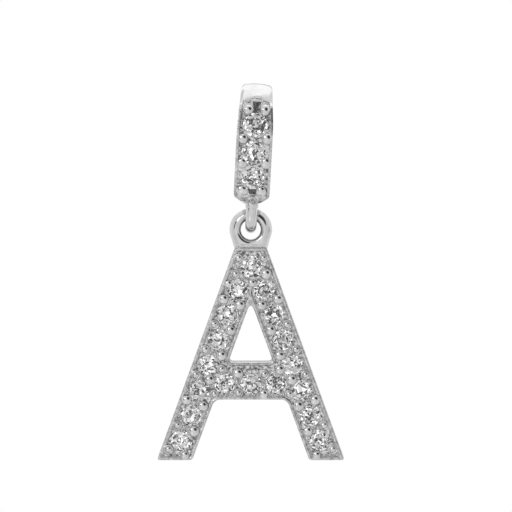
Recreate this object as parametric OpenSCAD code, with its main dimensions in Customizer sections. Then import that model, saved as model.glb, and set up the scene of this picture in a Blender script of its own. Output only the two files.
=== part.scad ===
// Initial pendant: a stone-set letter A hanging from a stone-set bail.
// Millimetres. The origin is the chain seat, the top of the opening in the
// bail. +Z is up, +X is right and the stones face -Y.

/* [Letter] */
// height from the feet to the flat top
letter_height = 13.0; // [12.6:0.1:13.4]
// thickness of the letter, front to back
letter_depth = 1.5; // [1.3:0.05:1.9]
// width of the flat top
top_width = 1.92; // [1.8:0.02:2.1]
// overall width at the feet
foot_width = 11.46; // [11:0.02:12]
// from the flat top down to the sharp tip of the counter
counter_drop = 3.27; // [3.1:0.01:3.4]
// from the flat top down to the top of the crossbar
bar_drop = 7.0; // [6.9:0.05:7.1]
// height of the crossbar
bar_height = 2.3; // [2.2:0.05:2.4]

/* [Loop] */
// radius of the hole in the loop on top of the letter
loop_hole_r = 0.605; // [0.58:0.005:0.63]
// outer radius of that loop
loop_outer_r = 1.3; // [1.2:0.01:1.32]
// thickness of the loop, front to back
loop_depth = 0.9; // [0.8:0.02:0.94]

/* [Bail] */
// height of the bail's band
bail_height = 7.39; // [7.3:0.01:7.5]
// depth of the band, front to back
bail_depth = 5.6; // [5.3:0.1:6]
// widest width of the band
bail_width = 2.2; // [2.1:0.02:2.4]
// width of the band at its top
bail_top_width = 1.86; // [1.7:0.02:2]
// sideways lean of the bail above the letter, in degrees
bail_lean = 2.9; // [0:0.1:4]
// wall of the band at the stones
front_wall = 1.3; // [1.2:0.05:1.4]
// wall of the band at the back
back_wall = 0.9; // [0.7:0.05:1]

/* [Ring] */
// wire of the ring soldered under the bail
ring_wire = 0.69; // [0.6:0.01:0.7]
// radius of the ring, to the middle of its wire
ring_radius = 1.05; // [1.04:0.01:1.1]

/* [Stones] */
// diameter of the stones in the legs and the crossbar
stone_d = 1.3; // [1.1:0.05:1.35]
// diameter of the stone at the top of the letter
top_stone_d = 1.4; // [1.2:0.05:1.45]
// diameter of the stones in the bail
bail_stone_d = 1.5; // [1.3:0.05:1.5]
// radius of the beads that hold the stones
bead_r = 0.29; // [0.25:0.01:0.3]

/* [Hidden] */
$fn = 48;
metal = [0.8, 0.8, 0.82];
stone_colour = [0.86, 0.92, 0.96];

// how far the cut floor round the stones lies below the rims
floor_drop = 0.12;
// width of the rim left at each edge of the letter and of the bail
letter_rim = 0.19;
bail_rim = 0.15;
// gap between a stone and its seat
seat_gap = 0.03;
// a cut runs this far past the metal that it goes through
past = 0.5;
// steps in a rounded corner
arc_steps = 6;

// proportions of a round brilliant, as parts of its diameter
table_r = 0.28;
crown_h = 0.15;
pavilion_h = 0.43;
girdle_h = 0.03;
star_r = 0.39;
lower_r = 0.12;
// the open hole behind each stone
azure_r = 0.28;
// no two stones are set alike: each is turned by one more step, and leans a little its own way
turn_step = 17;
lean_step = 97;
stone_lean = 1.8;

// walls of the bail's band above and below its opening
top_wall = 0.9;
bottom_wall = 1.12;
// rise of the arched top edge
top_arch = 0.1;
// the ring sits a little right of the bail's middle line
ring_x = 0.05;
// from the chain seat to the middle of the ring's lowest wire
ring_drop = 7.89;
// solder collar where the ring meets the bail
collar_r = 0.395;
collar_h = 0.32;

// from the middle of that wire to the loop's hole and the letter's flat top
hole_drop = 0.13;
letter_drop = 1.2;
// the loop's chamfers: how wide inside and outside, and how deep
loop_chamfer_in = 0.19;
loop_chamfer_out = 0.22;
loop_chamfer_depth = 0.2;
// the loop's sides run from here to the letter's corners
loop_side = [1.27, -0.3];
loop_foot = 0.98;
loop_sink = 0.15;
side_depth = 0.8;

// rounded corners of the letter
counter_tip_r = 0.2;
counter_foot_r = 0.12;
under_bar_r = 0.5;
inner_foot_r = 0.25;

// stones down each leg and their spacing along its middle line
leg_stones = 7;
leg_pitch = 1.64;
first_stone = 2.56;
// stones in the crossbar
bar_pitch = 1.57;
bar_stone_drop = 8.35;
// the stone at the top of the letter
top_stone = [0.03, -1.18];

// beads beside a leg's middle line, half a pitch below each of its stones
outer_bead = 0.57;
inner_bead = 0.49;
// the inner bead at the crossbar stands nearer the middle line
inner_bar_bead = 0.33;
bar_row = 3;
bead_slip = 0.04;
// the inner bead at each foot is smaller, as a part of bead_r
foot_bead = 0.8;

// single beads of the letter, from the middle of its flat top: x, z, part of bead_r
bead_x = 0;
bead_z = 1;
bead_size = 2;
single_beads = [
    [-0.73, -0.67, 1], [0.77, -0.66, 1], [-0.94, -1.64, 1], [0.93, -1.64, 1],
    [0.08, -2.19, 0.8], [-1.36, -2.24, 0.8], [1.29, -2.18, 0.8],
    [-1.78, -7.45, 1], [1.78, -7.48, 1], [-0.78, -7.7, 1], [0.83, -7.76, 1],
    [-0.75, -8.9, 1], [0.79, -8.97, 0.9], [-2.22, -8.97, 0.9], [2.35, -8.98, 0.9]
];

// stones and beads of the bail, by height from the chain seat
bail_stone_z = [-1.6, -3.32, -4.83];
bail_beads = [
    [-0.46, -0.64, 1], [0.55, -0.6, 1], [-0.66, -2.45, 1], [0.82, -2.38, 1],
    [-0.62, -3.97, 1], [0.79, -3.9, 1], [-0.6, -5.62, 1], [0.63, -5.56, 1],
    [-0.06, -6.17, 0.85]
];

// the outline of the bail from the front: x, z, corner radius
bail_top = [0, top_wall, 5];
bail_shoulder = [bail_top_width / 2, top_wall - top_arch, 0.12];
bail_side = [
    [bail_width / 2, -1.6, 2],
    [bail_width / 2, top_wall - bail_height + 0.47, 0.35],
    [0.36, top_wall - bail_height, 0.15]
];
// the cut floor starts here, below the polished top
window_shoulder = [bail_width / 2 - 0.1, 0.2, 0.1];

// the band from the side: an oval ring
oval_y = bail_depth / 2;
oval_z = bail_height / 2;
oval_mid = top_wall - oval_z;
inside_y = (bail_depth - front_wall - back_wall) / 2;
inside_mid_y = (front_wall - back_wall) / 2;
inside_z = (bail_height - top_wall - bottom_wall) / 2;

// the slope of the letter's sides and the direction of a leg
slope = (foot_width - top_width) / 2 / letter_height;
leg_way = [slope, -1] / norm([slope, -1]);
leg_out = [-leg_way.y, leg_way.x];
letter_front = -letter_depth / 2;
letter_floor = letter_front + floor_drop;
bar_top_half = slope * (bar_drop - counter_drop);
bar_under_half = slope * (bar_drop + bar_height - counter_drop);
foot_inner_half = slope * (letter_height - counter_drop);

// the letter from the front, from the middle of its flat top: x, z, corner radius
half_letter = [
    [top_width / 2, 0, 0],
    [foot_width / 2, -letter_height, 0],
    [foot_inner_half, -letter_height, inner_foot_r],
    [bar_under_half, -bar_drop - bar_height, under_bar_r]
];
counter = [
    [0, -counter_drop, counter_tip_r],
    [bar_top_half, -bar_drop, counter_foot_r],
    [-bar_top_half, -bar_drop, counter_foot_r]
];

// a list of corners and its mirror image make one closed clockwise outline
function mirrored(side) = [for (i = [len(side) - 1:-1:0]) [-side[i].x, side[i].y, side[i].z]];
function flat(p) = [p.x, p.y];
function left_of(a, b) = [a.y - b.y, b.x - a.x] / norm(b - a);

// every edge of a clockwise outline moved outward by d
function moved(corners, d) = [
    for (i = [0:len(corners) - 1])
        let (
            count = len(corners),
            here = flat(corners[i]),
            before = left_of(flat(corners[(i + count - 1) % count]), here),
            after = left_of(here, flat(corners[(i + 1) % count])),
            to = here + d * (before + after) / (1 + before * after)
        )
        [to.x, to.y, corners[i].z]
];

// points of one rounded corner between its two neighbours
function corner(before, here, after, r) =
    let (
        u = (before - here) / norm(before - here),
        v = (after - here) / norm(after - here),
        half = acos(u * v) / 2,
        middle = here + (u + v) / norm(u + v) * r / sin(half),
        start = here + u * r / tan(half) - middle,
        end = here + v * r / tan(half) - middle,
        from = atan2(start.y, start.x),
        turn = atan2(start.x * end.y - start.y * end.x, start * end)
    )
    [for (i = [0:arc_steps]) middle + r * [cos(from + turn * i / arc_steps), sin(from + turn * i / arc_steps)]];

function rounded(corners) = [
    for (i = [0:len(corners) - 1])
        let (count = len(corners), here = flat(corners[i]), r = corners[i].z)
        for (
            p = r == 0 ? [here] : corner(
                flat(corners[(i + count - 1) % count]), here, flat(corners[(i + 1) % count]), r
            )
        ) p
];

// an outline in x and z made solid through y, thick to each side of the middle
module slab(points, thick) {
    rotate([90, 0, 0]) linear_extrude(thick, center = true) polygon(points);
}

function wheel(count, turn, r, h) = [
    for (i = [0:count - 1]) [r * cos((i + turn) * 360 / count), r * sin((i + turn) * 360 / count), h]
];

// a round brilliant with its girdle in the plane z = 0 and its table up
module brilliant(d) {
    g = girdle_h / 2;
    kite = (star_r * cos(22.5) - table_r) / (0.5 - table_r);
    main = lower_r * cos(22.5) / 0.5;
    points = d * concat(
        wheel(8, 0, table_r, g + crown_h),
        wheel(8, 0.5, star_r, g + crown_h * (1 - kite)),
        wheel(16, 0, 0.5, g),
        wheel(16, 0, 0.5, -g),
        wheel(8, 0.5, lower_r, -g - pavilion_h * (1 - main)),
        [[0, 0, -g - pavilion_h]]
    );
    star = 8;
    top = 16;
    under = 32;
    lower = 48;
    culet = 56;
    polyhedron(points, faces = concat(
        [[for (i = [7:-1:0]) i]],
        [for (i = [0:7]) [i, (i + 1) % 8, star + i]],
        [for (i = [0:7]) [i, star + i, top + 2 * i, star + (i + 7) % 8]],
        [for (i = [0:7]) [star + i, top + 2 * i + 1, top + 2 * i]],
        [for (i = [0:7]) [star + i, top + (2 * i + 2) % 16, top + 2 * i + 1]],
        [for (i = [0:15]) [top + i, top + (i + 1) % 16, under + (i + 1) % 16, under + i]],
        [for (i = [0:7]) [under + 2 * i, under + 2 * i + 1, lower + i]],
        [for (i = [0:7]) [under + 2 * i + 1, under + (2 * i + 2) % 16, lower + i]],
        [for (i = [0:7]) [under + 2 * i, lower + i, culet, lower + (i + 7) % 8]]
    ));
}

// what is cut away for a stone, with the open hole behind it
module seat(d, depth) {
    edge = d / 2 + seat_gap;
    lip = girdle_h * d / 2 + seat_gap;
    hole = azure_r * d;
    rotate_extrude() polygon([
        [0, lip + crown_h * d],
        [table_r * d + seat_gap, lip + crown_h * d],
        [edge, lip],
        [edge, -lip],
        [hole, -lip - (edge - hole) * pavilion_h / 0.5],
        [hole, -depth],
        [0, -depth]
    ]);
}

module letter_place() {
    sink = ring_drop;
    x = ring_x * cos(bail_lean) - sink * sin(bail_lean);
    z = -ring_x * sin(bail_lean) - sink * cos(bail_lean);
    translate([x, 0, z]) children();
}

module on_face(p) {
    translate([p.x, letter_floor, p.y - letter_drop]) rotate([90, 0, 0]) children();
}

// the middle line of a leg, a distance down it from the first stone
function leg_middle(along) =
    [(top_width / 2 + slope * (2 * first_stone - counter_drop)) / 2, -first_stone] + leg_way * along;
function leg_stone(side, i) =
    let (p = leg_middle(i * leg_pitch)) [side * p.x, p.y];
function bar_stone(i) = [(i - 1) * bar_pitch, -bar_stone_drop];

module each_letter_stone() {
    on_face(top_stone) seat(top_stone_d, letter_depth + past);
    for (i = [0:leg_stones - 1], side = [-1, 1])
        on_face(leg_stone(side, i)) seat(stone_d, letter_depth + past);
    for (i = [0:2]) on_face(bar_stone(i)) seat(stone_d, letter_depth + past);
}

module letter_beads() {
    for (b = single_beads) on_face([b[bead_x], b[bead_z]]) sphere(bead_r * b[bead_size]);
    for (i = [0:leg_stones - 1], side = [-1, 1]) {
        middle = leg_middle((i + 0.5) * leg_pitch + bead_slip);
        outside = middle + leg_out * outer_bead;
        inside = middle - leg_out * (i == bar_row ? inner_bar_bead : inner_bead);
        on_face([side * outside.x, outside.y]) sphere(bead_r);
        on_face([side * inside.x, inside.y]) sphere(bead_r * (i == leg_stones - 1 ? foot_bead : 1));
    }
}

module letter_plate() {
    outline = concat(half_letter, mirrored(half_letter));
    translate([0, 0, -letter_drop]) difference() {
        slab(rounded(outline), letter_depth);
        slab(rounded(counter), letter_depth + past);
        translate([0, letter_front, 0]) difference() {
            slab(rounded(moved(outline, -letter_rim)), 2 * floor_drop);
            slab(rounded(moved(counter, letter_rim)), 3 * floor_drop);
        }
    }
}

module letter_loop() {
    face = loop_depth / 2;
    edge = face - loop_chamfer_depth;
    corner_z = -letter_drop - loop_sink;
    translate([0, 0, -hole_drop]) rotate([90, 0, 0]) rotate_extrude() polygon([
        [loop_hole_r, -edge],
        [loop_hole_r + loop_chamfer_in, -face],
        [loop_outer_r - loop_chamfer_out, -face],
        [loop_outer_r, -edge],
        [loop_outer_r, edge],
        [loop_outer_r - loop_chamfer_out, face],
        [loop_hole_r + loop_chamfer_in, face],
        [loop_hole_r, edge]
    ]);
    difference() {
        slab([
            [-loop_side.x, loop_side.y], [loop_side.x, loop_side.y],
            [loop_foot, corner_z], [-loop_foot, corner_z]
        ], side_depth);
        translate([0, 0, -hole_drop]) rotate([90, 0, 0])
            cylinder(h = side_depth + past, r = loop_hole_r + loop_chamfer_in, center = true);
    }
}

module letter() color(metal) letter_place() {
    difference() {
        union() {
            letter_plate();
            letter_loop();
            letter_beads();
        }
        each_letter_stone();
    }
}

module as_set(count) {
    rotate([0, 0, lean_step * count]) rotate([stone_lean, 0, 0]) rotate([0, 0, turn_step * count])
        children();
}

module letter_stone(place, d, count) color(stone_colour) letter_place() on_face(place)
    as_set(count) brilliant(d);

module top_stone() letter_stone(top_stone, top_stone_d, 1);
module left_leg_stone_1() letter_stone(leg_stone(-1, 0), stone_d, 2);
module left_leg_stone_2() letter_stone(leg_stone(-1, 1), stone_d, 3);
module left_leg_stone_3() letter_stone(leg_stone(-1, 2), stone_d, 4);
module left_leg_stone_4() letter_stone(leg_stone(-1, 3), stone_d, 5);
module left_leg_stone_5() letter_stone(leg_stone(-1, 4), stone_d, 6);
module left_leg_stone_6() letter_stone(leg_stone(-1, 5), stone_d, 7);
module left_leg_stone_7() letter_stone(leg_stone(-1, 6), stone_d, 8);
module right_leg_stone_1() letter_stone(leg_stone(1, 0), stone_d, 9);
module right_leg_stone_2() letter_stone(leg_stone(1, 1), stone_d, 10);
module right_leg_stone_3() letter_stone(leg_stone(1, 2), stone_d, 11);
module right_leg_stone_4() letter_stone(leg_stone(1, 3), stone_d, 12);
module right_leg_stone_5() letter_stone(leg_stone(1, 4), stone_d, 13);
module right_leg_stone_6() letter_stone(leg_stone(1, 5), stone_d, 14);
module right_leg_stone_7() letter_stone(leg_stone(1, 6), stone_d, 15);
module crossbar_stone_1() letter_stone(bar_stone(0), stone_d, 16);
module crossbar_stone_2() letter_stone(bar_stone(1), stone_d, 17);
module crossbar_stone_3() letter_stone(bar_stone(2), stone_d, 18);

// an oval bar along x, with its middle at y and z
module oval(half_y, half_z, middle, long) {
    translate([0, middle.x, middle.y]) scale([1, half_y / half_z, 1]) rotate([0, 90, 0])
        cylinder(h = long, r = half_z, center = true);
}

// the surface of the cut floor at a height, and how far it faces up
function floor_y(z) = -(oval_y - floor_drop) * sqrt(1 - pow((z - oval_mid) / (oval_z - floor_drop), 2));
function floor_tilt(z) =
    atan2((z - oval_mid) / pow(oval_z - floor_drop, 2), -floor_y(z) / pow(oval_y - floor_drop, 2));

module on_band(x, z) {
    translate([x, floor_y(z), z]) rotate([90 - floor_tilt(z), 0, 0]) children();
}

module bail_band() {
    right = concat([bail_shoulder], bail_side);
    window = concat([window_shoulder], bail_side);
    difference() {
        intersection() {
            slab(rounded(concat([bail_top], right, mirrored(right))), 2 * bail_depth);
            oval(oval_y, oval_z, [0, oval_mid], 2 * bail_width);
        }
        oval(inside_y, inside_z, [inside_mid_y, -inside_z], 2 * bail_width);
        difference() {
            translate([0, -bail_depth / 2, 0])
                slab(rounded(moved(concat(window, mirrored(window)), -bail_rim)), bail_depth);
            oval(oval_y - floor_drop, oval_z - floor_drop, [0, oval_mid], 2 * bail_width);
        }
    }
}

module bail_ring() {
    translate([ring_x, 0, ring_radius - ring_drop]) {
        rotate([0, 90, 0]) rotate_extrude() translate([ring_radius, 0]) circle(ring_wire / 2);
        for (side = [-1, 1])
            translate([0, side * (ring_radius - 0.04), 0.16]) cylinder(h = collar_h, r = collar_r);
    }
}

module bail_place() {
    rotate([0, bail_lean, 0]) children();
}

module bail() color(metal) bail_place() difference() {
    union() {
        bail_band();
        bail_ring();
        for (b = bail_beads) on_band(b[bead_x], b[bead_z]) sphere(bead_r * b[bead_size]);
    }
    for (z = bail_stone_z) on_band(0, z) seat(bail_stone_d, front_wall + past);
}

module bail_stone(i) color(stone_colour) bail_place() on_band(0, bail_stone_z[i])
    as_set(i + 19) brilliant(bail_stone_d);

module bail_stone_1() bail_stone(0);
module bail_stone_2() bail_stone(1);
module bail_stone_3() bail_stone(2);

bail();
bail_stone_1();
bail_stone_2();
bail_stone_3();
letter();
top_stone();
left_leg_stone_1();
left_leg_stone_2();
left_leg_stone_3();
left_leg_stone_4();
left_leg_stone_5();
left_leg_stone_6();
left_leg_stone_7();
right_leg_stone_1();
right_leg_stone_2();
right_leg_stone_3();
right_leg_stone_4();
right_leg_stone_5();
right_leg_stone_6();
right_leg_stone_7();
crossbar_stone_1();
crossbar_stone_2();
crossbar_stone_3();
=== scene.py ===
import bisect
import math
import random

import bmesh
import bpy
from mathutils import Matrix, Vector


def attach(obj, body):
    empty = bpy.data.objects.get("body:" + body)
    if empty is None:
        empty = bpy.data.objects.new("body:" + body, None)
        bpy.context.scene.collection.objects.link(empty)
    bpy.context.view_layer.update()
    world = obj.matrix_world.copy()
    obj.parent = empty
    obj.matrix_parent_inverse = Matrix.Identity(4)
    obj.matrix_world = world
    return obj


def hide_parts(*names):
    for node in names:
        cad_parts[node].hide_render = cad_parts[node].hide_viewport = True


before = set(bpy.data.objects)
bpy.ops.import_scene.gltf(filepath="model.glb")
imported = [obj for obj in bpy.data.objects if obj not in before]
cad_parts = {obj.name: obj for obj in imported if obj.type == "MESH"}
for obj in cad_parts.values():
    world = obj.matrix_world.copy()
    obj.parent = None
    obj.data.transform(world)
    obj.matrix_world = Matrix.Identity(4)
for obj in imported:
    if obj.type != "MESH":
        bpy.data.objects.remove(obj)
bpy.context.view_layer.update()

scene = bpy.context.scene
toMetres = 0.001  # pieces are drawn in millimetres and scaled at the end
smallestRadius = 0.02  # a corner that moves inward never gets sharper than this
sharpAngle = math.radians(32)  # edges that turn more than this stay crisp
# the floor and pit slots hold painted shade: the metal is darker in the sunk floor, the pits and deep in the loop's
# hole
workedSlot, polishedSlot, shadedFloorSlot, shadedPitSlot = range(4)  # material slots of the metal


# tools that the pieces share
def movedIn(corners, by):
    # each side of an outline (x, z, radius) moved inward, and its corners' radii with it
    points = [Vector(corner[:2]) for corner in corners]
    nexts = points[1:] + points[:1]
    sides = [(b - a).normalized() for a, b in zip(points, nexts)]
    area = sum(a.cross(b) for a, b in zip(points, nexts))
    made = []
    for (x, z, radius), before, after in zip(corners, sides[-1:] + sides, sides):
        first, second = before.orthogonal(), after.orthogonal()
        slide = (first + second) * by * math.copysign(1, area) / (1 + first.dot(second))
        outward = before.cross(after) * area > 0
        made.append((x + slide.x, z + slide.y, max(radius - (by if outward else -by), smallestRadius)))
    return made


def mirrored(corners):
    return [(-x, z, radius) for x, z, radius in reversed(corners)]


def cornerLoop(bm, corners, y, steps=8):
    # a closed line through the corners, each rounded to its radius
    before = set(bm.faces)
    verts = [bm.verts.new((x, y, z)) for x, z, radius in corners]
    bm.faces.new(verts)
    for vert, (x, z, radius) in zip(verts, corners):
        ways = [(e.other_vert(vert).co - vert.co).normalized() for e in vert.link_edges]
        reach = radius / math.tan(ways[0].angle(ways[1]) / 2)
        bmesh.ops.bevel(bm, geom=[vert], offset=reach, offset_type="OFFSET", affect="VERTICES",
                        segments=steps, profile=0.5, material=-1)
    face = [f for f in bm.faces if f not in before][0]
    edges = face.edges[:]
    bmesh.ops.delete(bm, geom=[face], context="FACES_ONLY")
    return edges


def circleLoop(bm, place, radius, height, steps=40):
    made = bmesh.ops.create_circle(bm, cap_ends=False, segments=steps, radius=radius,
                                   matrix=place @ Matrix.Translation((0, 0, height)))
    return list(dict.fromkeys(e for v in made["verts"] for e in v.link_edges))


def joinLoops(bm, loops):
    # each loop stands well apart from the last while they are joined, as nested flat ones can cross
    rows = [list(dict.fromkeys(v for e in loop for v in e.verts)) for loop in loops]
    apart = 5
    for way in (apart, -apart):
        for step, row in enumerate(rows):
            bmesh.ops.translate(bm, verts=row, vec=(0, way * step, 0))
        if way > 0:
            for first, second in zip(loops, loops[1:]):
                bmesh.ops.bridge_loops(bm, edges=first + second)


def fillLoops(bm, loops, normal=(0, -1, 0)):
    bmesh.ops.triangle_fill(bm, use_beauty=True, edges=[e for loop in loops for e in loop], normal=normal)


def sliceAt(bm, height, keepBelow):
    # a level cut; 1 removes what is above it, -1 what is below, and 0 nothing
    bmesh.ops.bisect_plane(bm, geom=bm.verts[:] + bm.edges[:] + bm.faces[:], dist=1e-6, plane_co=(0, 0, height),
                           plane_no=(0, 0, keepBelow or 1), clear_outer=keepBelow != 0)


def spun(bm, profile, place, steps):
    # a closed profile (radius, height) turned once round the local z axis
    verts = [bm.verts.new((radius, 0, height)) for radius, height in profile]
    edges = [bm.edges.new(pair) for pair in zip(verts, verts[1:] + verts[:1])]
    others = set(bm.verts) - set(verts)
    bmesh.ops.spin(bm, geom=verts + edges, cent=(0, 0, 0), axis=(0, 0, 1), angle=math.tau,
                   steps=steps, use_merge=True, use_duplicate=False)
    bmesh.ops.transform(bm, matrix=place, verts=[v for v in bm.verts if v not in others])


def paint(bm, known, slot):
    # gives every face made since then a material slot
    for face in bm.faces:
        if face not in known:
            face.material_index = slot


def facingOut(x, z, y, tilt=0.0):
    # local z points at the viewer, tilted up by some degrees
    return Matrix.Translation((x, y, z)) @ Matrix.Rotation(math.radians(90 - tilt), 4, "X")


# a stone's seat: the gap round the stone, and the rest as shares of the stone or of the seat's width
seat = {"gap": 0.03, "lip": 0.015, "hole": 0.28, "slope": 0.86}


def seatSizes(stone):
    # radius and depth of the seat's upper edge, then radius and depth of the hole behind the stone
    edge, lip, hole = stone / 2 + seat["gap"], seat["lip"] * stone + seat["gap"], seat["hole"] * stone
    return edge, lip, hole, lip + (edge - hole) * seat["slope"]


# a bead of radius 1: its ball, or the smaller one inside the ring that the setter's tool leaves
grainBead = {
    "ball": 0.86, "ringedBall": 0.6, "slimmest": 0.92,
    "ring": [(0.5, 0.1), (0.55, 0.25), (0.6, 0.31), (0.67, 0.34), (0.73, 0.34), (0.8, 0.31), (0.85, 0.25),
             (0.9, 0.1), (0.9, -0.1), (0.5, -0.1)],
}


def addBeads(bm, places, chance, ringed, steps=32):
    # a bead for each place, width, length and height, not quite round
    ball = bmesh.new()
    bmesh.ops.create_uvsphere(ball, u_segments=steps, v_segments=steps // 2 + 4,
                              radius=grainBead["ringedBall" if ringed else "ball"])
    for face in ball.faces:
        face.material_index = polishedSlot
    if ringed:
        spun(ball, grainBead["ring"], Matrix.Identity(4), 32)
    ballMesh = bpy.data.meshes.new("ball")
    ball.to_mesh(ballMesh)
    ball.free()
    beads = bmesh.new()
    slimmest = grainBead["slimmest"]
    for place, width, length, height in places:
        wide, long = width * chance.uniform(slimmest, 1), length * chance.uniform(slimmest, 1)
        shape = Matrix.Diagonal((wide, long, height, 1))
        others = len(beads.verts)
        beads.from_mesh(ballMesh)
        bmesh.ops.transform(beads, matrix=place @ shape, verts=beads.verts[:][others:])
    beads.to_mesh(ballMesh)
    beads.free()
    bm.from_mesh(ballMesh)
    bpy.data.meshes.remove(ballMesh)


def addMetal(bm, name, place, node):
    # the finished metal of one CAD node, in metres
    bmesh.ops.recalc_face_normals(bm, faces=bm.faces[:])
    bmesh.ops.transform(bm, matrix=Matrix.Scale(toMetres, 4) @ place, verts=bm.verts[:])
    mesh = bpy.data.meshes.new(name)
    bm.to_mesh(mesh)
    bm.free()
    mesh.shade_smooth()
    mesh.set_sharp_from_angle(angle=sharpAngle)
    for material in (worked, polished, shadedFloorGold, shadedPitGold):
        mesh.materials.append(material)
    made = bpy.data.objects.new(name, mesh)
    scene.collection.objects.link(made)
    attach(made, node)
    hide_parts(node)
    print(name, len(mesh.polygons), "faces")


# small groups of nodes
def noiseNode(nodes, link, source, scale, detail=3.0, roughness=0.5):
    made = nodes.new("ShaderNodeTexNoise")
    made.inputs["Scale"].default_value = scale
    made.inputs["Detail"].default_value = detail
    made.inputs["Roughness"].default_value = roughness
    link(source, made.inputs["Vector"])
    return made.outputs["Fac"]


def rangeNode(nodes, link, source, low, high, fromLow=0.3, fromHigh=0.7):
    made = nodes.new("ShaderNodeMapRange")
    made.inputs["From Min"].default_value = fromLow
    made.inputs["From Max"].default_value = fromHigh
    made.inputs["To Min"].default_value = low
    made.inputs["To Max"].default_value = high
    link(source, made.inputs["Value"])
    return made.outputs["Result"]


def bumpNode(nodes, link, height, distance, strength, under=None):
    made = nodes.new("ShaderNodeBump")
    made.inputs["Strength"].default_value = strength
    made.inputs["Distance"].default_value = distance
    link(height, made.inputs["Height"])
    if under:
        link(under, made.inputs["Normal"])
    return made.outputs["Normal"]


def vectorNode(nodes, link, operation, *given):
    # each thing given is another node's output or plain numbers
    made = nodes.new("ShaderNodeVectorMath")
    made.operation = operation
    for socket, value in zip(made.inputs, given):
        if isinstance(value, bpy.types.NodeSocket):
            link(value, socket)
        else:
            socket.default_value = value
    return made.outputs["Value" if operation == "DOT_PRODUCT" else "Vector"]


def rampNode(nodes, link, source, stops):
    # a ramp through the stops (place, colour)
    made = nodes.new("ShaderNodeValToRGB")
    elements = made.color_ramp.elements
    for index, (place, colour) in zip((0, 1), (stops[0], stops[-1])):
        elements[index].position = place
        elements[index].color = (*colour, 1)
    for place, colour in stops[1:-1]:
        elements.new(place).color = (*colour, 1)
    link(source, made.inputs["Fac"])
    return made.outputs["Color"]


# polishing strokes and grain on all the metal: slant in degrees, scale, and depths in metres
goldMarks = {"slant": 28, "strokeScale": (1500, 1500, 12000), "strokeDepth": 0.00002, "grainDepth": 0.00003}


def whiteGold(name, finish):
    # white gold: tone and gloss change with wear, over fine grain and slanting polishing strokes
    made = bpy.data.materials.new(name)
    made.use_nodes = True
    nodes, link = made.node_tree.nodes, made.node_tree.links.new
    shader = nodes["Principled BSDF"]
    shader.inputs["Metallic"].default_value = 1.0
    where = nodes.new("ShaderNodeTexCoord").outputs["Object"]
    wear = noiseNode(nodes, link, where, finish["wearScale"], 3, 0.6)
    tone = rangeNode(nodes, link, wear, finish["dark"], finish["light"],
                     0.5 - finish["spread"], 0.5 + finish["spread"])
    tint = nodes.new("ShaderNodeCombineColor")
    for channel in ("Red", "Green", "Blue"):
        link(tone, tint.inputs[channel])
    link(tint.outputs["Color"], shader.inputs["Base Color"])
    grain = noiseNode(nodes, link, where, finish["grainScale"], 4, 0.6)
    gloss = rangeNode(nodes, link, grain, finish["rough"] * 0.6, finish["rough"] * 1.6)
    link(gloss, shader.inputs["Roughness"])
    strokes = nodes.new("ShaderNodeMapping")
    strokes.inputs["Rotation"].default_value = (0, math.radians(goldMarks["slant"]), 0)
    strokes.inputs["Scale"].default_value = goldMarks["strokeScale"]
    link(where, strokes.inputs["Vector"])
    lines = noiseNode(nodes, link, strokes.outputs["Vector"], 1.0, 2)
    normal = bumpNode(nodes, link, lines, goldMarks["strokeDepth"], finish["strokes"])
    normal = bumpNode(nodes, link, grain, goldMarks["grainDepth"], finish["grain"], normal)
    link(normal, shader.inputs["Normal"])
    return made


polished = whiteGold("white_gold_polished", {
    "dark": 0.68, "light": 0.82, "spread": 0.2, "rough": 0.1, "wearScale": 1500, "grainScale": 9000,
    "strokes": 0.12, "grain": 0.08,
})
worked = whiteGold("white_gold_worked", {
    "dark": 0.4, "light": 0.86, "spread": 0.2, "rough": 0.22, "wearScale": 4500, "grainScale": 9000,
    "strokes": 0.5, "grain": 0.5,
})
# painted shade: the sunk floor that the graver cut is darker than the rims, in strong light and dark spots of
# random tone
shadedFloorGold = whiteGold("white_gold_floor_painted_shade", {
    "dark": 0.14, "light": 0.9, "spread": 0.11, "rough": 0.28, "wearScale": 4700, "grainScale": 9000,
    "strokes": 0.6, "grain": 0.7,
})
# painted shade: the pits of the bail and the deep part of the loop's hole are darker where shade falls
shadedPitGold = whiteGold("white_gold_pit_painted_shade", {
    "dark": 0.12, "light": 0.84, "spread": 0.2, "rough": 0.28, "wearScale": 4200, "grainScale": 9000,
    "strokes": 0.6, "grain": 0.7,
})

# the stones' material: its gloss, its faint clouds, its patches, and how far they lean their own way and ahead
brilliant = {
    "metallic": 0.7, "ior": 2.417, "cloudScale": 2500, "cloudTones": ((0.9, 0.9, 0.91), (1, 1, 1)),
    "chooseScale": 2400, "largePatches": 4300, "smallPatches": 8600,
    "lean": 1.1, "ahead": 1.2,
}


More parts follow.
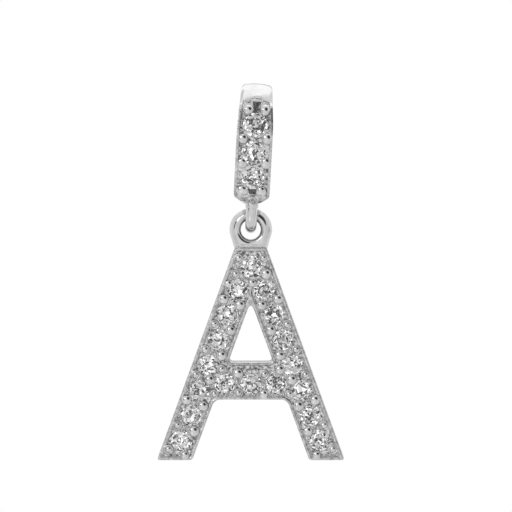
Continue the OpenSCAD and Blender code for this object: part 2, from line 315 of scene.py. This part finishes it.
def clearStone(name):
    # diamond: hardly any colour, and facets that aren't perfectly flat
    made = bpy.data.materials.new(name)
    made.use_nodes = True
    nodes, link = made.node_tree.nodes, made.node_tree.links.new
    shader = nodes["Principled BSDF"]
    shader.inputs["Transmission Weight"].default_value = 1.0
    shader.inputs["Metallic"].default_value = brilliant["metallic"]
    shader.inputs["IOR"].default_value = brilliant["ior"]
    shader.inputs["Roughness"].default_value = 0.0
    where = nodes.new("ShaderNodeTexCoord").outputs["Object"]
    cloud = noiseNode(nodes, link, where, brilliant["cloudScale"], 2)
    clarity = rampNode(nodes, link, cloud, list(zip((0, 1), brilliant["cloudTones"])))
    link(clarity, shader.inputs["Base Color"])
    # the facets break up into patches, large and small, that each lean a little their own way
    mixed = nodes.new("ShaderNodeMix")
    mixed.data_type = "RGBA"
    choice = noiseNode(nodes, link, where, brilliant["chooseScale"], 1)
    link(rangeNode(nodes, link, choice, 0, 1, 0.5, 0.51), mixed.inputs[0])
    # sockets 6 and 7 are the two colours, and output 2 the mixed one
    for scale, socket in ((brilliant["smallPatches"], 6), (brilliant["largePatches"], 7)):
        patches = nodes.new("ShaderNodeTexVoronoi")
        patches.inputs["Scale"].default_value = scale
        link(where, patches.inputs["Vector"])
        link(patches.outputs["Color"], mixed.inputs[socket])
    lean = vectorNode(nodes, link, "SUBTRACT", mixed.outputs[2], (0.5, 0.5, 0.5))
    # towards the rim they lean outward less than the shape does, so that they too mirror what lies ahead
    ahead = nodes.new("ShaderNodeVectorTransform")
    ahead.vector_type = "NORMAL"
    ahead.convert_from, ahead.convert_to = "OBJECT", "WORLD"
    ahead.inputs[0].default_value = (0, -1, 0)
    shape = nodes.new("ShaderNodeNewGeometry").outputs["Normal"]
    turned = vectorNode(nodes, link, "MULTIPLY_ADD", ahead.outputs[0], [brilliant["ahead"]] * 3, shape)
    leaned = vectorNode(nodes, link, "MULTIPLY_ADD", lean, [brilliant["lean"]] * 3, turned)
    link(vectorNode(nodes, link, "NORMALIZE", leaned), shader.inputs["Normal"])
    return made


diamond = clearStone("clear_diamond")
print("materials:", ", ".join(made.name for made in (polished, worked, shadedFloorGold, shadedPitGold, diamond)))

stoneNames = [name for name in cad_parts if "stone" in name]
for name in stoneNames:
    stone = bpy.data.objects[name]
    for slot in stone.material_slots:
        slot.material = diamond
print("stones:", len(stoneNames))


# the letter, measured from the line that it swings on, with drops counted from its flat top
letter = {
    "pivotX": -0.349, "pivotZ": -7.882, "seed": 4,
    "top": -1.2, "height": 13.0, "depth": 1.5, "topHalf": 0.96, "footHalf": 5.73,
    "counterDrop": 3.27, "barDrop": 6.98, "barHeight": 2.32, "floor": 0.12, "polishedFrom": 0.16,
    "stone": 1.3, "topStone": 1.4, "topStoneX": 0.03, "topStoneDrop": 1.18,
    "legStones": 7, "pitch": 1.64, "firstStone": 2.56, "barStoneDrop": 8.35, "barPitch": 1.57,
    "bead": 0.415, "ringedBead": 0.37, "beadHeight": 0.86,
    "beadNudge": 0.04, "outerBead": 0.57, "innerBead": 0.49, "barBead": 0.33,
}
legSlope = (letter["footHalf"] - letter["topHalf"]) / letter["height"]
legRun = math.hypot(legSlope, 1)


def legMiddle(along):
    # a place on the right leg's middle line, from its first stone
    x = (letter["topHalf"] + legSlope * (2 * letter["firstStone"] - letter["counterDrop"])) / 2
    return x + legSlope / legRun * along, -letter["firstStone"] - along / legRun


def letterStones():
    places = [(letter["topStoneX"], -letter["topStoneDrop"], letter["topStone"])]
    for i in range(letter["legStones"]):
        x, z = legMiddle(i * letter["pitch"])
        places += [(side * x, z, letter["stone"]) for side in (-1, 1)]
    places += [(i * letter["barPitch"], -letter["barStoneDrop"], letter["stone"]) for i in (-1, 0, 1)]
    return [(x, letter["top"] + z, width) for x, z, width in places]


def letterBeads():
    # x and z from the middle of the flat top, size, and whether the setter's tool left a ring round it
    places = [
        (-0.73, -0.67, 1, True), (0.77, -0.66, 1, True), (-0.94, -1.64, 1, True), (0.93, -1.64, 1, False),
        (0.08, -2.19, 0.8, False), (-1.36, -2.24, 0.8, False), (1.29, -2.18, 0.8, True),
        (-1.78, -7.45, 1, True), (1.78, -7.48, 1, False), (-0.78, -7.7, 1, False), (0.83, -7.76, 1, True),
        (-0.75, -8.9, 1, True), (0.79, -8.97, 0.9, False), (-2.22, -8.97, 0.9, True), (2.35, -8.98, 0.9, True),
    ]
    last = letter["legStones"] - 1
    for i in range(letter["legStones"]):
        x, z = legMiddle((i + 0.5) * letter["pitch"] + letter["beadNudge"] * (1 if i < last else -1))
        outer, inner = letter["outerBead"], letter["barBead" if i == 3 else "innerBead"]
        innerSize = 0.8 if i == last else 1
        for side in (-1, 1):
            places.append((side * (x + outer / legRun), z + outer * legSlope / legRun, 1, i not in (0, 4)))
            places.append((side * (x - inner / legRun), z - inner * legSlope / legRun, innerSize, False))
    return [(x, letter["top"] + z, size, ringed) for x, z, size, ringed in places]


# the graver's marks: how many, the share on the legs, where, how far apart, and their leans and sizes
graver = {
    "marks": 70, "onLegs": 0.7, "legSpan": (-1.5, 10.4), "legHalf": 0.58, "barHalf": 1.9, "barRise": 0.75,
    "stoneGap": 0.07, "beadGap": 0.36, "markGap": 0.13, "lean": (25, 60), "leanRight": 0.7,
    "width": (0.04, 0.06), "length": (0.12, 0.24), "height": 0.07,
}


def cutMarks(chance):
    # places and sizes of the slanting marks between the stones and beads
    taken = [(x, z, width / 2 + graver["stoneGap"]) for x, z, width in letterStones()]
    taken += [(x, z, graver["beadGap"] * size) for x, z, size, ringed in letterBeads()]
    floorY = letter["floor"] - letter["depth"] / 2
    marks = []
    while len(marks) < graver["marks"]:
        if chance.random() < graver["onLegs"]:
            x, z = legMiddle(chance.uniform(*graver["legSpan"]))
            side = chance.choice((-1, 1))
            x, z = side * (x + chance.uniform(-graver["legHalf"], graver["legHalf"])), z + letter["top"]
        else:
            x = chance.uniform(-graver["barHalf"], graver["barHalf"])
            rise = chance.uniform(-graver["barRise"], graver["barRise"])
            z = letter["top"] - letter["barStoneDrop"] + rise
        if all(math.hypot(x - takenX, z - takenZ) > clear for takenX, takenZ, clear in taken):
            taken.append((x, z, graver["markGap"]))
            lean = chance.uniform(*graver["lean"])
            lean = math.radians(lean * (1 if chance.random() < graver["leanRight"] else -1))
            place = facingOut(x, z, floorY) @ Matrix.Rotation(lean, 4, "Z")
            width, length = chance.uniform(*graver["width"]), chance.uniform(*graver["length"])
            marks.append((place, width, length, graver["height"]))
    return marks


def buildPlate(bm):
    top, drop, height = letter["top"], letter["counterDrop"], letter["height"]
    barTop = letter["barDrop"]
    barUnder = barTop + letter["barHeight"]
    right = [
        (letter["topHalf"], top, 0.05), (letter["footHalf"], top - height, 0.12),
        (legSlope * (height - drop), top - height, 0.25),
        (legSlope * (barUnder - drop), top - barUnder, 0.5),
    ]
    counter = [
        (0, top - drop, 0.2), (legSlope * (barTop - drop), top - barTop, 0.2),
        (-legSlope * (barTop - drop), top - barTop, 0.2),
    ]
    half = letter["depth"] / 2
    floorY = letter["floor"] - half
    # how far in from the outline, how deep, and how much further in on the crossbar's top edge:
    # back, side, rounded rim, and the slope down to the floor
    levels = [
        (0.06, half, 0), (0.02, half - 0.02, 0), (0, half - 0.06, 0), (0, 0.35 - half, 0), (0, 0.13 - half, 0.03),
        (0.012, 0.07 - half, 0.05), (0.035, 0.03 - half, 0.05), (0.07, 0.01 - half, 0.035), (0.115, -half, 0.015),
        (0.15, 0.012 - half, 0), (0.2, 0.05 - half, 0), (0.265, floorY, 0),
    ]
    outer = [cornerLoop(bm, movedIn(right + mirrored(right), by), y) for by, y, dip in levels]
    # the slope meets in a wedge above the counter, which stands higher halfway down the slope
    slopeFrom, wedgeEnd = 0.14, 0.25
    inner = []
    for by, y, dip in levels:
        (x, z, radius), *feet = movedIn(counter, -by)
        feet = [(footX + math.copysign(dip * legSlope, footX), footZ - dip, r) for footX, footZ, r in feet]
        if by > slopeFrom:
            z, radius = (z + 0.1, 0.1) if by < wedgeEnd else (z, 0.06)
        inner.append(cornerLoop(bm, [(x, z, radius), *feet], y))
    joinLoops(bm, outer)
    joinLoops(bm, inner)
    seats = []
    for x, z, width in letterStones():
        edge, lip, hole, holeFrom = seatSizes(width)
        mouth = width / 2 + 0.006
        place = facingOut(x, z, floorY)
        rings = [(mouth, 0), (mouth, -0.02), (edge, -lip), (hole, -holeFrom), (hole, floorY - half)]
        loops = [circleLoop(bm, place, radius, deep) for radius, deep in rings]
        known = set(bm.faces)
        joinLoops(bm, loops)
        paint(bm, known, polishedSlot)
        seats.append(loops)
    # the front floor gets painted shade, darker than the rims
    known = set(bm.faces)
    fillLoops(bm, [outer[-1], inner[-1]] + [loops[0] for loops in seats])
    paint(bm, known, shadedFloorSlot)
    fillLoops(bm, [outer[0], inner[0]] + [loops[-1] for loops in seats], (0, 1, 0))
    # sides and back are polished
    for face in bm.faces:
        if face.calc_center_median().y > letter["polishedFrom"] - half and face.material_index == workedSlot:
            face.material_index = polishedSlot


# the loop above the flat top: radii of its hole and outside, half its depth, how far its middle lies below the
# line that it swings on, where its worked foot starts, and how deep in the hole the dull, painted shade starts
eyelet = {"hole": 0.605, "outer": 1.3, "half": 0.45, "drop": 0.13, "footLine": -1.02, "shadeFrom": 0.1}


def buildLoop(bm):
    # a rounded ring with a countersunk hole, running down into the letter's flat top
    hole, outer, half, drop = eyelet["hole"], eyelet["outer"], eyelet["half"], eyelet["drop"]
    known = set(bm.faces)
    sides = [(outer, outer - drop, outer - 0.01), (outer, -0.28, 0.6), (0.882, -1.7, 0.05)]
    # how far in and how deep: the domed edges, then the countersink
    edge = [(0.42, 0), (0.38, 0.005), (0.33, 0.024), (0.27, 0.06), (0.19, 0.125), (0.1, 0.22), (0.03, 0.33),
            (0, 0.42)]
    levels = [(by, half - deep) for by, deep in edge] + [(by, deep - half) for by, deep in reversed(edge)]
    ring = [cornerLoop(bm, movedIn(sides + mirrored(sides), by), y, 20) for by, y in levels]
    joinLoops(bm, ring)
    sink = [(0.27, 0), (0.25, 0.003), (0.2, 0.02), (0.15, 0.045), (0.1, 0.085), (0.04, 0.17), (0, 0.29)]
    place = facingOut(0, -drop, 0)
    bore = [circleLoop(bm, place, hole + wide, half - deep, 72) for wide, deep in sink]
    bore += [circleLoop(bm, place, hole + wide, deep - half, 72) for wide, deep in reversed(sink)]
    front = set(bm.faces)
    fillLoops(bm, [ring[-1], bore[0]])
    front = [f for f in bm.faces if f not in front]
    fillLoops(bm, [ring[0], bore[-1]], (0, 1, 0))
    joinLoops(bm, bore)
    paint(bm, known, polishedSlot)
    # the deep part of the hole is dull and painted darker as shade, and the foot is worked
    shadeDepth = eyelet["shadeFrom"]
    for face in bm.faces:
        middle = face.calc_center_median()
        inside = math.hypot(middle.x, middle.z + drop) < hole + shadeDepth
        if face not in known and inside and abs(middle.y) < half - shadeDepth:
            face.material_index = shadedPitSlot
    edges = list(dict.fromkeys(e for f in front for e in f.edges))
    bmesh.ops.bisect_plane(bm, geom=front + edges, dist=1e-6, plane_co=(0, 0, eyelet["footLine"]),
                           plane_no=(0, 0.02, 1))
    for face in bm.faces:
        if face not in known and face.normal.y < -0.999 and face.calc_center_median().z < eyelet["footLine"]:
            face.material_index = workedSlot


def buildLetter():
    chance = random.Random(letter["seed"])
    bm = bmesh.new()
    buildPlate(bm)
    buildLoop(bm)
    floorY = letter["floor"] - letter["depth"] / 2
    for ringed in (True, False):
        radius = letter["ringedBead" if ringed else "bead"]
        sizes = [(x, z, radius * size) for x, z, size, ring in letterBeads() if ring == ringed]
        places = [(facingOut(x, z, floorY), r, r, r * letter["beadHeight"]) for x, z, r in sizes]
        addBeads(bm, places, chance, ringed)
    addBeads(bm, cutMarks(chance), chance, False, 12)
    place = Matrix.Translation((letter["pivotX"], 0, letter["pivotZ"]))
    addMetal(bm, "letterMetal", place, "letter")


buildLetter()

# the bail, measured from the top of its opening, before it leans
bail = {
    "lean": 2.9, "seed": 9, "top": 0.9, "height": 7.39, "depth": 5.6, "half": 1.1,
    "front": 1.3, "back": 0.9, "bottom": 1.12, "floor": 0.12, "stone": 1.5, "bead": 0.42,
    "stones": (-1.6, -3.32, -4.83),
    # narrower above the shoulder and, with a soft start, below the toe
    "shoulder": -1.6, "shoulderTaper": 0.0708, "toe": -6.02, "toeTaper": 1.574, "toeSoft": 0.07,
    # the plain top's crown, its fall to the sides and how far down that reaches, the extra fall at its edges,
    # where the rims begin, and the heights between which the part inside them keeps its width
    "crown": 0.1, "fall": 0.24, "fallDepth": 0.6, "fallFront": 0.5, "fallBack": 1.9,
    "edgeFrom": 0.7, "edgeFall": 3, "rim": 0.86, "straight": (-5.7, -0.8),
    "wire": 0.345, "ring": 1.05, "ringX": 0.05, "ringDrop": 7.89,
    "collar": 0.395, "collarHeight": 0.32, "collarEdge": 0.07,
}
ovalY, ovalZ = bail["depth"] / 2, bail["height"] / 2
ovalMid = bail["top"] - ovalZ
boreY = (bail["depth"] - bail["front"] - bail["back"]) / 2
boreZ = (bail["height"] - bail["top"] - bail["bottom"]) / 2
boreMidY = (bail["front"] - bail["back"]) / 2
boreDeep = 10  # the depth in the flat strip that stands for the opening's wall

# length along the oval from its top, down the front, for angles of half a degree
halfDegrees = 720
along = [0.0]
for step in range(halfDegrees):
    turn = [math.radians((step + k) / 2) for k in (0, 1)]
    along.append(along[-1] + math.hypot(ovalY * (math.sin(turn[1]) - math.sin(turn[0])),
                                        ovalZ * (math.cos(turn[1]) - math.cos(turn[0]))))


def ovalTurn(length):
    # the oval's angle at a length from the top
    length %= along[-1]
    step = min(bisect.bisect_right(along, length), halfDegrees) - 1
    return math.radians((step + (length - along[step]) / (along[step + 1] - along[step])) / 2)


def downFront(z):
    # the length from the top at a height on the front
    place = math.degrees(math.acos((z - ovalMid) / ovalZ)) * 2
    step = int(place)
    return along[step] + (place - step) * (along[step + 1] - along[step])


def onOval(turn, inset):
    # place and outward direction (y, z) on the outer oval, some depth in
    normal = Vector((-math.sin(turn) / ovalY, math.cos(turn) / ovalZ)).normalized()
    return Vector((-ovalY * math.sin(turn), ovalMid + ovalZ * math.cos(turn))) - normal * inset, normal


def onBand(x, z):
    # a place on the band's sunk floor, facing out
    point, normal = onOval(math.acos((z - ovalMid) / ovalZ), bail["floor"])
    return facingOut(x, point.y, point.x, math.degrees(math.atan2(normal.y, -normal.x)))


def bandHalf(z):
    # half the bail's width at a height
    drop = bail["toe"] - z
    narrow = bail["toeTaper"] * (drop + math.hypot(drop, bail["toeSoft"])) / 2
    return bail["half"] - bail["shoulderTaper"] * max(0, z - bail["shoulder"]) - narrow


def bendBand(bm):
    # from a flat strip (x, depth, length down the front) to the oval band
    rim = bail["rim"]
    straightLow, straightHigh = bail["straight"]
    for vert in bm.verts:
        x, deep, length = vert.co.x, vert.co.y, -vert.co.z
        turn = ovalTurn(length)
        if deep > boreDeep / 2:
            point = Vector((boreMidY - boreY * math.sin(turn), boreZ * (math.cos(turn) - 1)))
            normal = Vector((-math.sin(turn) / boreY, math.cos(turn) / boreZ)).normalized()
            point += normal * (boreDeep - deep)
        else:
            point, normal = onOval(turn, deep)
        # the rims follow the band's width, and the middle does so above and below the stones
        shrink = bail["half"] - bandHalf(point.y)
        if abs(x) > rim:
            x -= math.copysign(shrink, x)
        elif not straightLow < point.y < straightHigh:
            x *= (rim - shrink) / rim
        if deep < boreDeep / 2:
            # the plain top is crowned and falls away to its sides, less so further in
            fade = max(0, 1 - deep / bail["fallDepth"])
            ramp = min(1, max(0, 1 + point.y / bail["fallFront" if point.x < 0 else "fallBack"]))
            power = 3 if x > 0 else 4  # it starts further in on the right
            fall = bail["fall"] * (abs(x) / bail["half"]) ** power * ramp * ramp * (3 - 2 * ramp)
            point -= normal * fall * fade
            crown = bail["crown"] * x * x + bail["edgeFall"] * max(0, abs(x) - bail["edgeFrom"]) ** 2
            point.y = min(point.y, bail["top"] - deep - crown * fade)
        vert.co = (x, point.x, point.y)


def buildBand(bm):
    half, floor = bail["half"], bail["floor"]
    end = along[-1] / 2
    strip = [(half, end + 1, 0.01), (half, -end - 1, 0.01)]
    strip += mirrored(strip)
    # how far in and how deep: the opening's wall, the side, and the rounded front edge
    levels = [(0.06, boreDeep), (0.02, boreDeep - 0.02), (0, boreDeep - 0.06), (0, 0.75), (0, 0.47), (0, 0.2),
              (0, 0.024), (0.007, 0.007), (0.024, 0)]
    sides = [cornerLoop(bm, movedIn(strip, by), deep, 1) for by, deep in levels]
    joinLoops(bm, sides)
    window = []
    for x, high, low, deep in ((0.95, 0, -6.3, 0), (0.93, -0.02, -6.27, 0.015), (0.9, -0.08, -5.98, floor)):
        # it reaches higher in the middle than at its sides
        edges = [(x - 0.55, -downFront(high), 0.04), (x - 0.5, -downFront(high - 0.14), 0.04),
                 (x, -downFront(high - 0.16), 0.08), (x, -downFront(low), 0.12)]
        window.append(cornerLoop(bm, edges + mirrored(edges), deep))
    joinLoops(bm, window)
    # the shallow step above the window
    step = [(x, -downFront(z), 0.05) for x, z in ((-0.154, 0.176), (0.335, 0.176), (0.335, 0.04), (-0.154, 0.04))]
    steps = [cornerLoop(bm, step, 0), cornerLoop(bm, movedIn(step, 0.03), 0.04)]
    joinLoops(bm, steps)
    fillLoops(bm, steps[1:])
    # the pits above the first stone and below the last
    pits = []
    for corners in (((-0.26, -0.1), (0.34, -0.1), (0.21, -0.85), (-0.09, -0.85)),
                    ((-0.166, -5.5), (0.262, -5.5), (0.262, -5.9), (-0.166, -5.9))):
        edges = [(x, -downFront(z), 0.05) for x, z in corners]
        pit = [cornerLoop(bm, edges, floor), cornerLoop(bm, movedIn(edges, 0.04), floor + 0.2)]
        middle = sum(z for x, z, radius in edges) / 4
        for vert in dict.fromkeys(v for e in pit[1] for v in e.verts):
            # its floor slopes down to the right and downwards
            vert.co.y += 0.27 * vert.co.x - 0.19 * (vert.co.z - middle)
        joinLoops(bm, pit)
        fillLoops(bm, pit[1:])
        pits.append(pit[0])
    edge, _, hole, _ = seatSizes(bail["stone"])
    mouths = [circleLoop(bm, facingOut(0, -downFront(z), floor), edge, 0) for z in bail["stones"]]
    holes = [circleLoop(bm, facingOut(0, -downFront(z), boreDeep), hole, 0) for z in bail["stones"]]
    fillLoops(bm, [window[-1]] + pits + mouths)
    fillLoops(bm, [window[0], steps[0], sides[-1]])
    fillLoops(bm, [sides[0]] + holes, (0, 1, 0))
    # the plain parts of the flat sheets become single faces, so that both ends get the same points
    sliceAt(bm, end, 1)
    sliceAt(bm, -end, -1)
    for line, way in ((0.6, 1), (-downFront(-6.3) - 0.12, -1)):
        sliceAt(bm, line, 0)
        for near in (True, False):
            plain = [f for f in bm.faces if (f.calc_center_median().z - line) * way > 0
                     and abs(f.normal.y) > 0.99 and (f.calc_center_median().y < boreDeep / 2) == near]
            bmesh.ops.dissolve_faces(bm, faces=plain, use_verts=True)
    cuts = 140
    for step in range(1, cuts):
        sliceAt(bm, end * (2 * step / cuts - 1), 0)
    # the pits are dull and the floor between the stones darker, both painted shade; the rims beside them are
    # worked, and the rest polished
    for face in bm.faces:
        middle = face.calc_center_median()
        across = abs(middle.x)
        besideStones = -downFront(-5.3) < middle.z < -downFront(-0.95)
        rimTop = -downFront(-0.13 if across > 0.42 else 0.03)
        if floor + 0.001 < middle.y < 0.4 and across < 0.8:
            face.material_index = shadedPitSlot
        elif abs(middle.y - floor) < 0.001 and besideStones:
            face.material_index = shadedFloorSlot
        elif middle.y > floor - 0.001 or not -downFront(-6) < middle.z < rimTop:
            face.material_index = polishedSlot
        elif across > 0.93 and middle.z > -downFront(-0.7):
            face.material_index = polishedSlot


def openSeats(bm, places):
    # joins each stone's opening in the floor to the hole behind it, straight through the band
    edge, lip, hole, holeFrom = seatSizes(bail["stone"])
    shallow = -0.3  # the openings' edges lie above this height, the holes' below it
    rims = [(e, (e.verts[0].co + e.verts[1].co) / 2) for e in bm.edges if e.is_boundary]
    for place in places:
        near = [(e, (place.inverted() @ at).z) for e, at in rims
                if min((p.translation - at).length for p in places) == (place.translation - at).length]
        joinLoops(bm, [
            [e for e, height in near if height > shallow], circleLoop(bm, place, edge, -lip),
            circleLoop(bm, place, hole, -holeFrom), [e for e, height in near if height < shallow],
        ])


def addRing(bm):
    # the wire ring in the side plane, with a collar at each end where it is soldered on
    ringMiddle = Vector((bail["ringX"], 0, bail["ring"] - bail["ringDrop"]))
    turns = [math.tau * i / 28 for i in range(28)]
    wire = [(bail["ring"] + bail["wire"] * math.cos(a), bail["wire"] * math.sin(a)) for a in turns]
    spun(bm, wire, Matrix.Translation(ringMiddle) @ Matrix.Rotation(math.pi / 2, 4, "Y"), 64)
    for end in (-1, 1):
        height = bail["collarHeight"]
        collar = Matrix.Translation(ringMiddle + Vector((0, end * (bail["ring"] - 0.04), height)))
        made = bmesh.ops.create_cone(bm, cap_ends=True, segments=32, radius1=bail["collar"], radius2=bail["collar"],
                                     depth=height, matrix=collar)
        rims = [e for e in dict.fromkeys(e for v in made["verts"] for e in v.link_edges)
                if e.calc_face_angle() > 1]
        bmesh.ops.bevel(bm, geom=rims, offset=bail["collarEdge"], offset_type="OFFSET", affect="EDGES", segments=3,
                        profile=0.5, material=-1)


def buildBail():
    chance = random.Random(bail["seed"])
    bm = bmesh.new()
    buildBand(bm)
    bendBand(bm)
    bmesh.ops.remove_doubles(bm, verts=bm.verts[:], dist=1e-4)
    known = set(bm.faces)
    openSeats(bm, [onBand(0, z) for z in bail["stones"]])
    addRing(bm)
    paint(bm, known, polishedSlot)
    # x, z, width, length and height: six beads beside the stones, two at the window's foot,
    # a small one and the bar that runs down to the ring's collar, and three bars at the upper left bead
    beads = [
        (-0.46, -0.66, 1.05, 1.05, 0.92), (0.55, -0.64, 0.98, 1.1, 0.92), (-0.7, -2.45, 0.98, 0.95, 0.75),
        (0.76, -2.4, 0.95, 1.1, 0.75), (-0.67, -3.97, 1, 1, 0.75), (0.75, -3.92, 1, 1.1, 0.75),
        (-0.58, -5.62, 1.16, 1.1, 1.15), (0.56, -5.62, 0.98, 1.1, 1.1),
        (-0.1, -6.14, 0.5, 0.5, 0.5), (0.3, -6.2, 0.5, 1.0, 0.4),
        (-0.8, -0.12, 0.13, 0.35, 0.38), (-0.63, -0.11, 0.13, 0.35, 0.38), (-0.44, -0.1, 0.12, 0.3, 0.38),
    ]
    places = [(onBand(x, z), *[bail["bead"] * size for size in sizes]) for x, z, *sizes in beads]
    addBeads(bm, places, chance, False)
    addMetal(bm, "bailMetal", Matrix.Rotation(math.radians(bail["lean"]), 4, "Y"), "bail")


buildBail()

# the floor, the light and the camera, in metres and degrees
studio = {
    "floorDrop": 0.062, "floorRadius": 0.45, "floorTone": 0.86, "floorRough": 0.9,
    "lampPlace": (0.05, 0.05, 0.45), "lampSize": 0.4, "lampPower": 0.9,
    "sensor": 36, "frameWidth": 0.031277, "distance": 0.4, "elevation": 2.0, "lookAt": (-0.00003, 0, -0.00963),
    # what the metal mirrors: a pale tent and discs laid on it, each azimuth from the camera's side,
    # elevation, inner and outer radius, and brightness
    "tentTone": 0.7,
    "tent": [
        (180, 10, 70, 100, 0.82), (180, 2, 9, 20, 0.45), (0, -60, 20, 60, 0.76), (-14, 0, 8, 42, 0.82),
        (-170, 56, 28, 39, 1.22),  # the white card above and behind
        (-126, 50, 2, 24, 0.78), (-38, -38, 10, 20, 1.0), (88, -5, 6, 16, 0.55), (38, 37, 24, 32, 0.05),
        (-62, 19, 5, 10, 0.1), (-65, 8, 5, 10, 0.1),
        (-35, 42, 3, 7, 2.2), (-46, 31, 5, 9, 6.0),  # two small lamps
    ],
    # what is seen in the stones: small lamps between dark gaps, as a noise and the tones of its steps
    "cellScale": 6.5, "cellStrength": 1.81,
    "cellTones": [(0.4, 0.06), (0.44, 0.13), (0.48, 0.3), (0.53, 0.42), (0.6, 0.58), (0.68, 1)],
}


def addFloor():
    bm = bmesh.new()
    bmesh.ops.create_circle(bm, cap_ends=True, segments=96, radius=studio["floorRadius"],
                            matrix=Matrix.Translation((0, 0, -studio["floorDrop"])))
    mesh = bpy.data.meshes.new("studioFloor")
    bm.to_mesh(mesh)
    bm.free()
    made = bpy.data.objects.new("studioFloor", mesh)
    scene.collection.objects.link(made)
    pale = bpy.data.materials.new("pale_floor")
    pale.use_nodes = True
    shader = pale.node_tree.nodes["Principled BSDF"]
    shader.inputs["Base Color"].default_value = (*[studio["floorTone"]] * 3, 1)
    shader.inputs["Roughness"].default_value = studio["floorRough"]
    mesh.materials.append(pale)
    # the metal and the stones mirror the tent alone
    made.visible_glossy = False
    made.visible_transmission = False


def disc(nodes, link, direction, azimuth, elevation, inner, outer):
    # 1 inside a disc of the surroundings, 0 outside it; azimuth 0 is the camera's side
    az, el = math.radians(azimuth), math.radians(elevation)
    middle = (math.sin(az) * math.cos(el), -math.cos(az) * math.cos(el), math.sin(el))
    soft = nodes.new("ShaderNodeMapRange")
    soft.interpolation_type = "SMOOTHSTEP"
    soft.inputs["From Min"].default_value = math.cos(math.radians(outer))
    soft.inputs["From Max"].default_value = math.cos(math.radians(inner))
    link(vectorNode(nodes, link, "DOT_PRODUCT", direction, middle), soft.inputs["Value"])
    return soft.outputs["Result"]


def tentLight(nodes, link, direction):
    # the discs over the tent's own tone, the last on top
    total = nodes.new("ShaderNodeValue").outputs[0]
    total.default_value = studio["tentTone"]
    for azimuth, elevation, inner, outer, value in studio["tent"]:
        mix = nodes.new("ShaderNodeMix")
        link(disc(nodes, link, direction, azimuth, elevation, inner, outer), mix.inputs[0])
        link(total, mix.inputs[2])
        mix.inputs[3].default_value = value
        total = mix.outputs[0]
    return total


def cellLight(nodes, link, direction):
    cells = noiseNode(nodes, link, direction, studio["cellScale"], 1)
    return rampNode(nodes, link, cells, [(place, (tone, tone, tone)) for place, tone in studio["cellTones"]])


def background(nodes, link, colour, strength=1.0):
    made = nodes.new("ShaderNodeBackground")
    made.inputs["Strength"].default_value = strength
    link(colour, made.inputs["Color"])
    return made.outputs[0]


def chosen(nodes, link, rays, others, these):
    # these for the rays named, the others for all the rest
    made = nodes.new("ShaderNodeMixShader")
    link(rays, made.inputs[0])
    link(others, made.inputs[1])
    link(these, made.inputs[2])
    return made.outputs[0]


def addWorld():
    world = bpy.data.worlds.new("studio")
    scene.world = world
    world.use_nodes = True
    nodes, link = world.node_tree.nodes, world.node_tree.links.new
    nodes.clear()
    direction = nodes.new("ShaderNodeTexCoord").outputs["Generated"]
    tent = background(nodes, link, tentLight(nodes, link, direction))
    cells = background(nodes, link, cellLight(nodes, link, direction), studio["cellStrength"])
    white = nodes.new("ShaderNodeBackground")
    white.inputs["Color"].default_value = (1, 1, 1, 1)
    rays = nodes.new("ShaderNodeLightPath")
    reflected = chosen(nodes, link, rays.outputs["Is Singular Ray"], tent, cells)
    seen = chosen(nodes, link, rays.outputs["Is Camera Ray"], reflected, white.outputs[0])
    link(seen, nodes.new("ShaderNodeOutputWorld").inputs["Surface"])


def addLamp():
    lamp = bpy.data.lights.new("topLamp", "AREA")
    lamp.size = studio["lampSize"]
    lamp.energy = studio["lampPower"]
    made = bpy.data.objects.new("topLamp", lamp)
    scene.collection.objects.link(made)
    made.location = studio["lampPlace"]
    way = Vector(studio["lookAt"]) - Vector(studio["lampPlace"])
    made.rotation_euler = way.to_track_quat("-Z", "Y").to_euler()
    made.visible_glossy = False


def addCamera():
    lens = bpy.data.cameras.new("camera")
    lens.sensor_width = studio["sensor"]
    lens.lens = studio["sensor"] * studio["distance"] / studio["frameWidth"]
    lens.clip_start = 0.01
    camera = bpy.data.objects.new("camera", lens)
    scene.collection.objects.link(camera)
    up = math.radians(studio["elevation"])
    target = Vector(studio["lookAt"])
    camera.location = target + Vector((0, -math.cos(up), math.sin(up))) * studio["distance"]
    camera.rotation_euler = (target - camera.location).to_track_quat("-Z", "Y").to_euler()
    scene.camera = camera
    scene.view_settings.view_transform = "Standard"


addFloor()
addWorld()
addLamp()
addCamera()
print("studio: floor, tent of", len(studio["tent"]), "discs, 1 lamp and camera")
